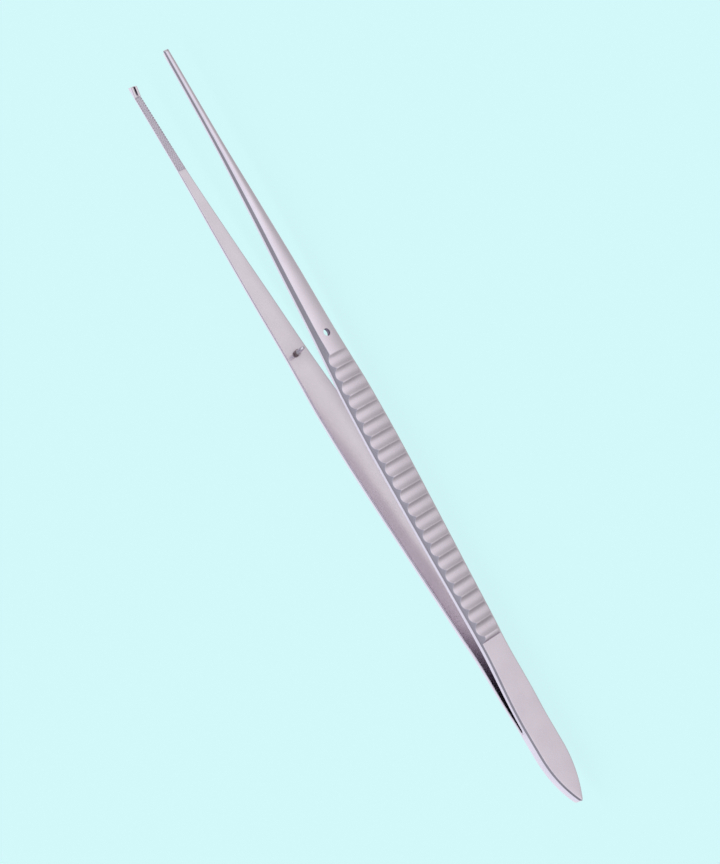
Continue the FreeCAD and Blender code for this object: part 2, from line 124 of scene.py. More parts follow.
@dataclass(frozen=True)
class ArmLine:
    """The line that an arm's inner face follows, in millimetres from the mid plane.

    The face is flat along the weld, turns out on the heel arc, splays straight to the end of
    the tail, is turned back a little by the set, runs straight along the grip and then bows
    gently back towards the tips.

    Attributes:
        weld_length: The length over which the arms are joined.
        heel_radius: The radius of the heel's arc.
        splay: The angle at which an arm leaves the mid plane.
        tail_length: The station where the tail ends and the set starts.
        set_radius: The radius of the set.
        spread: The angle of the grip to the mid plane.
        straight_end: The station where the bow starts.
        bow_radius: The radius of the bow.
    """

    weld_length: float = 21.0
    heel_radius: float = 60.0
    splay: float = math.radians(4.6)
    tail_length: float = 46.0
    set_radius: float = 250.0
    spread: float = math.radians(3.4)
    straight_end: float = 135.0
    bow_radius: float = 2000.0

    @property
    def heel_end(self) -> float:
        """The station where the heel's arc ends."""
        return self.weld_length + self.heel_radius * math.sin(self.splay)

    @property
    def heel_rise(self) -> float:
        """How far out the heel's arc ends."""
        return self.heel_radius * (1 - math.cos(self.splay))

    @property
    def tail_rise(self) -> float:
        """How far out the tail ends."""
        return self.heel_rise + (self.tail_length - self.heel_end) * math.tan(self.splay)

    @property
    def set_end(self) -> float:
        """The station where the set ends."""
        return self.tail_length + self.set_radius * (math.sin(self.splay) - math.sin(self.spread))

    @property
    def set_rise(self) -> float:
        """How far out the set ends."""
        return self.tail_rise + self.set_radius * (math.cos(self.spread) - math.cos(self.splay))

    @property
    def bow_rise(self) -> float:
        """How far out the bow starts."""
        return self.set_rise + (self.straight_end - self.set_end) * math.tan(self.spread)

    def rise(self, station: Row) -> Row:
        """Reads how far the inner face is from the mid plane.

        Args:
            station: The stations to read.

        Returns:
            The distance at each station.
        """
        into_heel = np.clip(station, self.weld_length, self.heel_end) - self.weld_length
        heel = self.heel_radius - np.sqrt(self.heel_radius ** 2 - into_heel ** 2)
        splayed = self.heel_rise + (station - self.heel_end) * math.tan(self.splay)
        into_set = np.clip(station, self.tail_length, self.set_end) - self.tail_length
        turned_in = math.sin(self.splay) - into_set / self.set_radius
        settled = self.tail_rise + self.set_radius * (np.sqrt(1 - turned_in ** 2) - math.cos(self.splay))
        straight = self.set_rise + (station - self.set_end) * math.tan(self.spread)
        into_bow = np.clip(station - self.straight_end, 0.0, None)
        bowed_in = math.sin(self.spread) - into_bow / self.bow_radius
        bow = self.bow_rise + self.bow_radius * (np.sqrt(1 - bowed_in ** 2) - math.cos(self.spread))
        return np.select(
            [station <= self.heel_end, station <= self.tail_length, station <= self.set_end,
             station <= self.straight_end],
            [heel, splayed, settled, straight], bow)

    def rise_at(self, station: float) -> float:
        """The inner face's distance from the mid plane at one station."""
        return float(self.rise(np.array([station]))[0])


@dataclass(frozen=True)
class Section:
    """One cross-section of the forging, in millimetres.

    Attributes:
        station: Its distance from the tail's end.
        width: The width of the inner face.
        wall: The height of the side walls above the inner face.
        edge: The height of the flanks' tops above the inner face.
        crown: How far the outer face's middle stands above its edges.
    """

    station: float
    width: float
    wall: float
    edge: float
    crown: float


@dataclass(frozen=True)
class Forging:
    """The plain arm's cross-sections from the tail to the tip, and the lean of its sides.

    Attributes:
        sections: The cross-sections.
        flank_slope: How far a flank leans in for each millimetre of its height.
        grip_flank_slope: The same along the grip.
        slope_rise: The stations between which the grip's slope comes in at the back.
        slope_fall: The stations between which it goes out at the front.
        tail_draft: How far a side wall of the tail leans in for each millimetre of its height.
        grip_draft: The same from the grip forward.
        draft_change: The stations between which the one draft gives way to the other.
        least_top: The share of the inner face's width that the draft leaves at the walls' top.
    """

    sections: tuple[Section, ...] = (
        Section(0.0, 8.65, 1.15, 1.55, 0.03),
        Section(27.0, 8.65, 1.15, 1.55, 0.03),
        Section(43.0, 7.6, 1.15, 1.55, 0.03),
        Section(45.5, 7.65, 1.15, 1.55, 0.03),
        Section(46.1, 7.7, 1.18, 2.45, 0.06),
        Section(50.0, 7.9, 1.2, 2.45, 0.08),
        Section(62.0, 8.4, 1.14, 2.42, 0.11),
        Section(75.06, 9.0, 1.1, 2.4, 0.13),
        Section(100.19, 9.7, 1.05, 2.3, 0.17),
        Section(114.02, 9.25, 1.0, 2.24, 0.19),
        Section(123.04, 8.15, 0.92, 2.12, 0.2),
        Section(131.34, 7.15, 0.84, 1.76, 0.22),
        Section(146.59, 5.95, 0.8, 1.52, 0.26),
        Section(166.41, 4.1, 0.72, 1.3, 0.28),
        Section(186.22, 2.5, 0.6, 1.0, 0.2),
        Section(210.0, 1.85, 0.46, 0.82, 0.12),
    )
    flank_slope: float = 1.0
    grip_flank_slope: float = 1.2
    slope_rise: tuple[float, float] = (44.0, 47.0)
    slope_fall: tuple[float, float] = (122.0, 134.0)
    tail_draft: float = math.tan(math.radians(7.0))
    grip_draft: float = math.tan(math.radians(9.0))
    draft_change: tuple[float, float] = (34.0, 85.0)
    least_top: float = 0.7

    def read(self, name: str, station: Row) -> Row:
        """Reads one size of the cross-sections.

        Args:
            name: The size's name.
            station: The stations to read.

        Returns:
            The size at each station.
        """
        stations = np.array([section.station for section in self.sections])
        values = np.array([getattr(section, name) for section in self.sections])
        return smooth_through(station, stations, values)

    def draft(self, station: Row) -> Row:
        """How much the side walls lean in for each millimetre of their height."""
        return self.tail_draft + (self.grip_draft - self.tail_draft) * eased(station, *self.draft_change)

    def slope(self, station: Row) -> Row:
        """How much the flanks lean in for each millimetre of their height."""
        on_grip = eased(station, *self.slope_rise) * (1 - eased(station, *self.slope_fall))
        return self.flank_slope + (self.grip_flank_slope - self.flank_slope) * on_grip


@dataclass(frozen=True)
class TailPlate:
    """The thin pointed plate at the tail and the short step up to the grip.

    Attributes:
        thickness: The plate's thickness.
        length: The station where the step starts.
        point_length: The length over which the outline runs to its point.
        nose_radius: The rounding of the point.
        half_width: Half the plate's greatest width.
        step_run: The step's length along the arm.
        step_height: The step's height.
        step_face_run: The length of its steep face.
        step_face_height: The height of its steep face, below the rounded shoulder.
        step_face_rows: The mesh rows on the steep face, as shares of its length.
        shoulder_rows: The number of mesh rows on the shoulder.
        last_row_gap: How far before the step's end the last of them stands.
    """

    thickness: float = 1.55
    length: float = 45.6
    point_length: float = 14.5
    nose_radius: float = 0.9
    half_width: float = 4.325
    step_run: float = 1.45
    step_height: float = 0.93
    step_face_run: float = 0.4
    step_face_height: float = 0.7
    step_face_rows: tuple[float, ...] = (-0.1, 0.0, 0.08, 0.5, 0.92)
    shoulder_rows: int = 9
    last_row_gap: float = 0.05

    def half_outline(self, station: Row) -> Row:
        """Reads half the width of the pointed leaf outline.

        Args:
            station: The stations to read.

        Returns:
            Half the width at each station.
        """
        run = self.point_length - self.nose_radius
        radius = (run ** 2 + self.half_width ** 2 - self.nose_radius ** 2) / (
            2 * (self.half_width - self.nose_radius))
        share = self.nose_radius / (radius - self.nose_radius)
        join = self.nose_radius - share * run
        back = np.clip(self.point_length - station, 0.0, self.point_length)
        leaf = self.half_width - radius + np.sqrt(radius ** 2 - back ** 2)
        into = np.clip(self.nose_radius - station, 0.0, self.nose_radius)
        nose = np.sqrt(self.nose_radius ** 2 - into ** 2)
        return np.where(station < join, nose, leaf)

    def outer(self, station: Row, line: ArmLine) -> Row:
        """Reads how far the plate's outer face is from the mid plane.

        Args:
            station: The stations to read.
            line: The arm's line.

        Returns:
            The distance at each station, infinite where the plate has ended.
        """
        along = np.clip(station - self.length, 0.0, self.step_run)
        steep = self.step_face_height * np.clip(along / self.step_face_run, 0.0, 1.0)
        shoulder_run = self.step_run - self.step_face_run
        onto = np.clip((along - self.step_face_run) / shoulder_run, 0.0, 1.0)
        shoulder = (self.step_height - self.step_face_height) * (1 - (1 - onto) ** 2)
        face = line.rise(station) + self.thickness + steep + shoulder
        return np.where(station >= self.length + self.step_run, np.inf, face)

    def step_rows(self) -> Row:
        """Places the mesh rows on the step, closest together at its foot and its shoulder.

        Returns:
            The rows' stations.
        """
        face = self.length + self.step_face_run * np.array(self.step_face_rows)
        face_end = self.length + self.step_face_run
        last_row = self.length + self.step_run - self.last_row_gap
        return np.concatenate([face, np.linspace(face_end, last_row, self.shoulder_rows)])


@dataclass(frozen=True)
class Flutes:
    """The row of hollow flutes across the grip, with narrow worn lands between them.

    Attributes:
        start: The station of the first ridge.
        pitch: The distance from one ridge to the next.
        count: The number of flutes.
        depth: Their depth below the unworn ridges.
        back_thickness: The arm's thickness at the first ridge.
        front_thickness: Its thickness at the last ridge.
        land: The width to which the ridges are worn.
        rows_per_flute: The number of mesh rows in a flute.
    """

    start: float = 47.05
    pitch: float = 3.735
    count: int = 21
    depth: float = 0.77
    back_thickness: float = 2.42
    front_thickness: float = 2.18
    land: float = 0.1
    rows_per_flute: int = 14

    @property
    def end(self) -> float:
        """The station of the last ridge."""
        return self.start + self.pitch * self.count

    @property
    def radius(self) -> float:
        """The radius of a flute's hollow."""
        return (self.pitch ** 2 / 4 + self.depth ** 2) / (2 * self.depth)

    def outer(self, station: Row, line: ArmLine) -> Row:
        """Reads how far the fluted face is from the mid plane.

        Args:
            station: The stations to read.
            line: The arm's line.

        Returns:
            The distance at each station, infinite beyond the flutes.
        """
        share = (station - self.start) / (self.end - self.start)
        ridge = self.back_thickness + share * (self.front_thickness - self.back_thickness)
        across = np.mod(station - self.start, self.pitch) - self.pitch / 2
        hollow = self.depth - (self.radius - np.sqrt(self.radius ** 2 - across ** 2))
        face = line.rise(station) + ridge - np.maximum(hollow, self.ridge_wear())
        inside = (station >= self.start) & (station <= self.end)
        return np.where(inside, face, np.inf)

    def ridge_wear(self) -> float:
        """How far the ridges' sharp crests are worn down to their lands."""
        across = self.pitch / 2 - self.land / 2
        return self.depth - (self.radius - math.sqrt(self.radius ** 2 - across ** 2))

    def rows(self) -> Row:
        """The stations of the mesh rows, one at each side of each land and even in the hollows."""
        inside = np.linspace(self.land / 2, self.pitch - self.land / 2, self.rows_per_flute)
        return np.concatenate([self.start + number * self.pitch + inside for number in range(self.count)])


@dataclass(frozen=True)
class Platform:
    """The raised face behind the teeth, with two crossing rows of fine grooves.

    Attributes:
        start: The station where it starts.
        end: The station where it ends.
        rise: How far it stands up from the plain inner face.
        foot: How far past its start it stands up.
        foot_row: The mesh row there, the first one that stands up.
        pitch: The grooves' distance along the arm.
        groove_width: Their width at the top.
        groove_depth: Their depth.
        margin: The plain strip left at each end.
        rows_per_pitch: The number of mesh rows from one groove to the next.
    """

    start: float = 185.3
    end: float = 206.9
    rise: float = 0.16
    foot: float = 0.01
    foot_row: float = 0.015
    pitch: float = 0.72
    groove_width: float = 0.4
    groove_depth: float = 0.2
    margin: float = 0.02
    rows_per_pitch: int = 8

    def grooves(self, station: Row, across: Row) -> Row:
        """Reads the depth of the crossing grooves.

        Args:
            station: The places' stations.
            across: Their heights across the arm.

        Returns:
            The depth at each place.
        """
        diagonal = math.sqrt(0.5)
        step = self.pitch * diagonal
        deepest = np.zeros_like(station)
        for lean in (1.0, -1.0):
            along = (station + lean * across) * diagonal
            off = np.abs(np.mod(along, step) - step / 2)
            depth = self.groove_depth * np.clip(1 - 2 * off / self.groove_width, 0.0, 1.0)
            deepest = np.maximum(deepest, depth)
        inside = (station > self.start + self.margin) & (station < self.end - self.margin)
        return np.where(inside, deepest, 0.0)

    def rows(self) -> Row:
        """The stations of the mesh rows on the platform."""
        steps = round((self.end - self.start) / self.pitch * self.rows_per_pitch)
        return np.linspace(self.start, self.end, steps + 1)


@dataclass(frozen=True)
class Teeth:
    """The hooked teeth at the tips, and the rounded nose behind them.

    Attributes:
        end: The station of the arm's end.
        setback: How far before the end the teeth's points stand.
        height: How far the points reach from the inner face towards the other arm.
        front: How far behind the inner face the teeth's fronts end.
        slot_width: The width of the slot between two teeth.
        slot_depth: How far the slot's floor ends behind the fronts' ends.
        tooth_width: The width of the single tooth at its end.
        nose_run: The length of the nose's rounding.
        nose_drop: How far that rounding comes down at the end.
    """

    end: float = 210.0
    setback: float = 0.5
    height: float = 0.95
    front: float = 0.3
    slot_width: float = 0.56
    slot_depth: float = 0.2
    tooth_width: float = 0.48
    nose_run: float = 1.1
    nose_drop: float = 0.5


@dataclass(frozen=True)
class Relief:
    """How the inner face is ground back between the weld and the grip.

    Attributes:
        depth: How deep it is ground.
        start: How far past the weld the grinding starts.
        full: How far past the weld it reaches its depth.
        fade: How far past the weld it starts to run out.
        end: The station where it has run out.
    """

    depth: float = 0.3
    start: float = 0.5
    full: float = 1.3
    fade: float = 2.0
    end: float = 44.0

    def cut(self, station: Row, weld: float) -> Row:
        """How deep the face is ground at each station, past a weld of the given length."""
        opened = eased(station, weld + self.start, weld + self.full)
        return self.depth * (opened * (1 - eased(station, weld + self.fade, self.end)))


@dataclass(frozen=True)
class Edges:
    """The roundings of an arm's edges, and how much of the faces beside them each may take.

    Attributes:
        tail: The rounding of the inner face's edges along the tail.
        grip: The same rounding along the grip.
        change: The stations between which the one gives way to the other.
        opening: How far past the weld that rounding starts, and where it is full.
        inner_share: The share of the inner face or the side wall that it takes at most.
        flank: The rounding between side wall and flank.
        flank_share: The share of the flank that it takes at most.
        wall_share: Its reach down the side wall, as a share of its reach up the flank.
        outer: The rounding of the outer face's edges.
        outer_flank_share: The share of the flank that it takes at most.
        outer_face_share: The share of the outer face that it takes at most.
        spans: The mesh spans round each of the first two roundings.
        outer_spans: The mesh spans round the outer one.
    """

    tail: float = 0.22
    grip: float = 0.46
    change: tuple[float, float] = (36.0, 62.0)
    opening: tuple[float, float] = (0.5, 1.5)
    inner_share: float = 0.42
    flank: float = 0.3
    flank_share: float = 0.48
    wall_share: float = 0.4
    outer: float = 0.07
    outer_flank_share: float = 0.3
    outer_face_share: float = 0.4
    spans: int = 5
    outer_spans: int = 4


@dataclass(frozen=True)
class MeshRows:
    """How many rows of the mesh lie along each stretch of an arm, and where some of them stand.

    Attributes:
        nose: The rows round the tail's nose.
        point: Those along its pointed part.
        heel: Those where the arms part.
        tail: Those along the rest of the tail.
        forward: Those from the flutes to the platform.
        tooth: Those up the teeth.
        front: Those down their fronts.
        heel_run: How far past the weld the heel's rows start and end.
        step_gap: How far before the step the tail's rows end.
        decimals: The decimals to which the stations are rounded.
    """

    nose: int = 12
    point: int = 32
    heel: int = 13
    tail: int = 64
    forward: int = 110
    tooth: int = 22
    front: int = 12
    heel_run: tuple[float, float] = (0.4, 1.6)
    step_gap: float = 0.3
    decimals: int = 4


@dataclass
class Arm:
    """One arm of the forceps as a swept mesh, from its driving sizes.

    Attributes:
        name: The piece's name.
        node: The CAD node that the piece stands for.
        side: The arm's side of the mid plane.
        tip: How its end is ground.
        line: The line of its inner face.
        forging: Its plain cross-sections.
        plate: The plate at its tail.
        flutes: The flutes across its grip.
        platform: The grooved face behind its teeth.
        teeth: Its teeth and its nose.
        relief: The grinding between weld and grip.
        edges: The roundings of its edges.
        rows: The rows of its mesh.
        inner_columns: The spans of the mesh across half the inner face.
        outer_columns: The spans across half the outer face.
    """

    name: str
    node: str
    side: Side
    tip: Tip
    line: ArmLine = field(default_factory=ArmLine)
    forging: Forging = field(default_factory=Forging)
    plate: TailPlate = field(default_factory=TailPlate)
    flutes: Flutes = field(default_factory=Flutes)
    platform: Platform = field(default_factory=Platform)
    teeth: Teeth = field(default_factory=Teeth)
    relief: Relief = field(default_factory=Relief)
    edges: Edges = field(default_factory=Edges)
    rows: MeshRows = field(default_factory=MeshRows)
    inner_columns: int = 22
    outer_columns: int = 12

    def stations(self) -> Row:
        """Places all mesh rows, from the tail to the tip.

        Returns:
            The rows' stations, rising.
        """
        plate, flutes, platform, teeth, rows = (
            self.plate, self.flutes, self.platform, self.teeth, self.rows)
        nose = plate.nose_radius * (1 - np.cos(np.linspace(0.0, math.pi / 2, rows.nose)))
        point = np.linspace(plate.nose_radius, plate.point_length, rows.point)
        heel = self.line.weld_length + np.linspace(*rows.heel_run, rows.heel)
        tail = np.linspace(plate.point_length, plate.length - rows.step_gap, rows.tail)
        forward = np.linspace(flutes.end + flutes.land / 2, platform.start, rows.forward)
        foot = platform.start + np.array([platform.foot_row])
        tooth = np.linspace(platform.end, teeth.end - teeth.setback, rows.tooth)
        front = np.linspace(teeth.end - teeth.setback, teeth.end, rows.front)
        parts = [nose, point, heel, tail, plate.step_rows(), flutes.rows(), forward, foot,
                 platform.rows(), tooth, front]
        return np.unique(np.round(np.concatenate(parts), rows.decimals))

    def half_width(self, station: Row) -> Row:
        """Half the width of the forging, with the tail's leaf outline."""
        wide = self.forging.read("width", station) / 2
        return np.where(
            station < self.plate.point_length,
            np.minimum(wide, self.plate.half_outline(station)), wide)

    def ground_half(self, station: Row) -> Row:
        """Reads half the width of the inner face, where the sides of the tooth are ground away.

        Args:
            station: The stations to read.

        Returns:
            Half the width at each station, infinite where nothing is ground away.
        """
        if self.tip is Tip.TWO_TEETH:
            return np.full_like(station, np.inf)
        tip_half = self.forging.sections[-1].width / 2
        ground = np.interp(
            station, [self.platform.end, self.teeth.end], [tip_half, self.teeth.tooth_width / 2])
        return np.where(station < self.platform.end, np.inf, ground)

    def inner(self, station: Row, across: Row) -> Row:
        """Reads how far the inner face is from the mid plane, with the platform and the teeth.

        Args:
            station: The places' stations.
            across: Their heights across the arm.

        Returns:
            The distance at each place.
        """
        platform, teeth = self.platform, self.teeth
        end_rise = self.line.rise_at(teeth.end)
        ramp_rise = self.line.rise_at(platform.end)
        face = self.line.rise(station) - platform.rise * (station > platform.start + platform.foot)
        face = face + self.relief.cut(station, self.line.weld_length)
        face = face + platform.grooves(station, across)
        tooth = np.interp(
            station,
            [platform.end, teeth.end - teeth.setback, teeth.end],
            [ramp_rise - platform.rise, end_rise - teeth.height, end_rise + teeth.front])
        face = np.where(station > platform.end, tooth, face)
        if self.tip is Tip.TWO_TEETH:
            floor = np.interp(
                station, [platform.end, teeth.end],
                [ramp_rise - platform.rise, end_rise + teeth.front + teeth.slot_depth])
            in_slot = (np.abs(across) < teeth.slot_width / 2) & (station > platform.end)
            face = np.where(in_slot, np.maximum(floor, face), face)
        return face

    def clip_height(self, station: Row) -> Row:
        """Finds the lowest of the faces that are cut square across the arm.

        Args:
            station: The stations to read.

        Returns:
            Its distance from the mid plane at each station, infinite where none is cut.
        """
        teeth = self.teeth
        cut = np.minimum(self.plate.outer(station, self.line), self.flutes.outer(station, self.line))
        radius = (teeth.nose_run ** 2 + teeth.nose_drop ** 2) / (2 * teeth.nose_drop)
        into = np.clip(station - (teeth.end - teeth.nose_run), 0.0, teeth.nose_run)
        last = self.forging.sections[-1]
        top = self.line.rise_at(teeth.end) + last.edge + last.crown
        nose = top - (radius - np.sqrt(radius ** 2 - into ** 2))
        return np.where(into > 0, np.minimum(cut, nose), cut)

    def half_profile(self, station: Row) -> tuple[list[Row], list[Row]]:
        """The cross-section from the middle of the inner face round to the middle of the outer one.

        Args:
            station: The stations of the mesh rows.

        Returns:
            The points' distances from the mid plane and their heights across the arm.
        """
        rise = self.line.rise(station)
        half = self.half_width(station)
        wall_height = self.forging.read("wall", station)
        wall = rise + wall_height
        edge = rise + self.forging.read("edge", station)
        crown = self.forging.read("crown", station)
        lean_in = self.forging.draft(station) * wall_height
        corner = np.minimum(np.minimum(edge, self.clip_height(station)), wall + half)
        wall_half = np.maximum(half - lean_in, self.forging.least_top * half)
        corner_half = np.clip(wall_half - self.forging.slope(station) * (corner - wall), 0.0, None)
        half = np.minimum(self.ground_half(station), half)

        at_edge = self.inner(station, half)
        weld, edges = self.line.weld_length, self.edges
        full_edge = edges.tail + (edges.grip - edges.tail) * eased(station, *edges.change)
        inner_edge = np.minimum(full_edge, edges.inner_share * np.minimum(half, wall_height))
        inner_edge = inner_edge * eased(station, weld + edges.opening[0], weld + edges.opening[1])
        wall = np.maximum(wall, at_edge + 2 * inner_edge)
        corner = np.maximum(corner, wall)
        flank = np.hypot(wall_half - corner_half, corner - wall)
        low = np.minimum(edges.flank, edges.flank_share * flank)
        most = np.minimum(edges.outer_flank_share * flank, edges.outer_face_share * corner_half)
        crisp = np.minimum(edges.outer, most)
        beside = (at_edge, half - inner_edge)
        inner_corner = (at_edge, half)
        wall_corner = (wall, wall_half)
        face_corner = (corner, corner_half)
        middle = (corner, np.zeros_like(half))

        away: list[Row] = []
        across: list[Row] = []
        for number in range(self.inner_columns + 1):
            z = (half - inner_edge) * number / self.inner_columns
            across.append(z)
            away.append(self.inner(station, z))
        for y, z in [
            *rounded(beside, inner_corner, wall_corner, inner_edge, inner_edge, edges.spans),
            *rounded(inner_corner, wall_corner, face_corner, edges.wall_share * low, low, edges.spans),
            *rounded(wall_corner, face_corner, middle, crisp, crisp, edges.outer_spans),
        ]:
            away.append(y)
            across.append(z)
        face_half = corner_half - crisp
        for number in range(self.outer_columns, -1, -1):
            share = number / self.outer_columns
            across.append(face_half * share)
            away.append(corner + crown * (1 - share ** 2))
        return away, across

    def build(self) -> bpy.types.Object:
        """Makes the arm's mesh in the frame.

        Returns:
            The arm's object.
        """
        station = self.stations()
        away, across = self.half_profile(station)
        y = np.stack(away + away[-2:0:-1], axis=1)
        z = np.stack(across + [-value for value in across[-2:0:-1]], axis=1)
        x = np.repeat(station[:, None], y.shape[1], axis=1)
        places = np.stack([
            tail_x() + x * MM,
            self.side.value * y * MM,
            middle_z() + z * MM,
        ], axis=2)
        row_count, around = y.shape
        numbers = np.arange(row_count * around).reshape(row_count, around)
        after = np.roll(numbers, -1, axis=1)
        quads = np.stack([numbers[:-1], after[:-1], after[1:], numbers[1:]], axis=2)
        mesh = bpy.data.meshes.new(self.name)
        faces = quads.reshape(-1, 4).tolist() + [numbers[-1].tolist()]
        mesh.from_pydata(places.reshape(-1, 3).tolist(), [], faces)
        column = np.arange(around)
        inside = (column < self.inner_columns) | (column >= around - self.inner_columns)
        kinds = np.where(inside, Surface.INSIDE, Surface.OUTSIDE)
        kinds = np.append(np.tile(kinds, row_count - 1), Surface.OUTSIDE)
        mesh.polygons.foreach_set("material_index", kinds.astype(np.int32))
        tidy(mesh)
        arm = bpy.data.objects.new(self.name, mesh)
        bpy.context.scene.collection.objects.link(arm)
        return arm


def rounded(
    before: Point, at: Point, after: Point, first: Row, second: Row, steps: int,
) -> list[Point]:
    """Rounds a corner of the cross-section in every mesh row.

    Args:
        before: The point before the corner, as (away, across).
        at: The corner itself.
        after: The point after it.
        first: How far before the corner the rounding starts.
        second: How far after the corner it ends.
        steps: The number of spans of the rounding.

    Returns:
        The rounding's points.
    """
    points = []
    start = toward(at, before, first)
    end = toward(at, after, second)
    for number in range(steps + 1):
        t = number / steps
        points.append(tuple(
            a * (1 - t) ** 2 + 2 * b * t * (1 - t) + c * t ** 2 for a, b, c in zip(start, at, end)))
    return points


def toward(here: Point, there: Point, distance: Row) -> Point:
    """The point at a distance from here on the way to there.

    Args:
        here: The point to start from.
        there: The point to go towards.
        distance: How far to go.

    Returns:
        The point on the way.
    """
    run = np.hypot(there[0] - here[0], there[1] - here[1])
    share = distance / np.maximum(run, NEARLY_ZERO)
    return here[0] + (there[0] - here[0]) * share, here[1] + (there[1] - here[1]) * share


def tidy(mesh: bpy.types.Mesh) -> None:
    """Merges points that fall together, turns the faces outward and shades them smoothly.

    Args:
        mesh: The mesh to tidy.
    """
    work = bmesh.new()
    work.from_mesh(mesh)
    bmesh.ops.remove_doubles(work, verts=work.verts, dist=MERGE_DISTANCE)
    bmesh.ops.dissolve_degenerate(work, edges=work.edges, dist=SHORTEST_EDGE)
    bmesh.ops.recalc_face_normals(work, faces=work.faces)
    work.to_mesh(mesh)
    work.free()
    mesh.shade_smooth()
    mesh.set_sharp_from_angle(angle=SHARP_ANGLE)


def tail_x() -> float:
    """The X of the tail's end in the frame."""
    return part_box("pin_arm")[0].x


def middle_z() -> float:
    """The Z of the arms' middle in the frame."""
    low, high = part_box("pin_arm")
    return (low.z + high.z) / 2


def across_arm(station: float, side: Side, line: ArmLine) -> Matrix:
    """The place and direction of what stands square on an arm's inner face.

    Args:
        station: Where it stands along the arm.
        side: The arm's side.
        line: The arm's line.

    Returns:
        The matrix whose origin is on the inner face and whose Z points out through the arm.
    """
    outward = Vector((-math.sin(line.spread), side.value * math.cos(line.spread), 0.0))
    foot = Vector((tail_x() + station * MM, side.value * line.rise_at(station) * MM, middle_z()))
    return Matrix.Translation(foot) @ outward.to_track_quat("Z", "X").to_matrix().to_4x4()


def turned(name: str, outline: list[tuple[float, float]], count: int = 64) -> bpy.types.Object:
    """Makes a turned piece about Z.

    Args:
        name: The piece's name.
        outline: Its outline as (radius, height) in millimetres, from axis to axis.
        count: The number of spans round it.

    Returns:
        The piece's object.
    """
    mesh = bpy.data.meshes.new(name)
    work = bmesh.new()
    rings = []
    for radius, height in outline:
        if radius == 0.0:
            rings.append([work.verts.new((0.0, 0.0, height * MM))])
            continue
        angles = [2 * math.pi * number / count for number in range(count)]
        rings.append([
            work.verts.new((radius * MM * math.cos(angle), radius * MM * math.sin(angle), height * MM))
            for angle in angles
        ])
    for low, high in zip(rings, rings[1:]):
        for number in range(count):
            after = (number + 1) % count
            corners = [low[number % len(low)], low[after % len(low)],
                       high[after % len(high)], high[number % len(high)]]
            work.faces.new(list(dict.fromkeys(corners)))
    bmesh.ops.recalc_face_normals(work, faces=work.faces)
    work.to_mesh(mesh)
    work.free()
    piece = bpy.data.objects.new(name, mesh)
    bpy.context.scene.collection.objects.link(piece)
    return piece


@dataclass(frozen=True)
class CrossHole:
    """A hole drilled square through an arm at the guide pin's station.

    Attributes:
        radius: The bore's radius.
        mouth: The bevel at the inner face.
        flare: The worn edge at the outer face.
        station: Where along the arm it is drilled.
        thickness: The arm's thickness there.
        reach: How far the cutter stands out of the metal on both sides.
        margin: How far beyond the mouth a face may lie and still be the hole's.
        along_axis: The least cosine of the angle to the axis for a face that isn't the hole's.
    """

    radius: float
    mouth: float
    flare: float
    station: float = 130.74
    thickness: float = 1.96
    reach: float = 1.5
    margin: float = 0.05
    along_axis: float = 0.9

    def drill(self, arm: bpy.types.Object, line: ArmLine, side: Side) -> None:
        """Cuts the hole through an arm and marks the faces inside it.

        Args:
            arm: The arm's object.
            line: The arm's line.
            side: The arm's side.
        """
        wide = self.radius + self.reach
        cutter = turned("drill", [
            (0.0, -self.reach), (wide + self.mouth, -self.reach), (self.radius, self.mouth),
            (self.radius, self.thickness - self.flare), (wide, self.thickness + self.reach - self.flare),
            (0.0, self.thickness + self.reach - self.flare),
        ])
        place = across_arm(self.station, side, line)
        cutter.data.transform(place)
        bpy.context.view_layer.update()
        cut = arm.modifiers.new("cross_hole", "BOOLEAN")
        cut.operation = "DIFFERENCE"
        cut.solver = "EXACT"
        cut.object = cutter
        graph = bpy.context.evaluated_depsgraph_get()
        drilled = bpy.data.meshes.new_from_object(arm.evaluated_get(graph))
        arm.modifiers.clear()
        arm.data = drilled
        bpy.data.objects.remove(cutter)
        tidy(drilled)
        axis = place.to_3x3() @ Vector((0.0, 0.0, 1.0))
        widest = (self.radius + self.mouth + self.margin) * MM
        for face in drilled.polygons:
            offset = face.center - place.translation
            from_axis = (offset - axis * offset.dot(axis)).length
            if from_axis < widest and abs(face.normal.dot(axis)) < self.along_axis:
                face.material_index = Surface.BORE


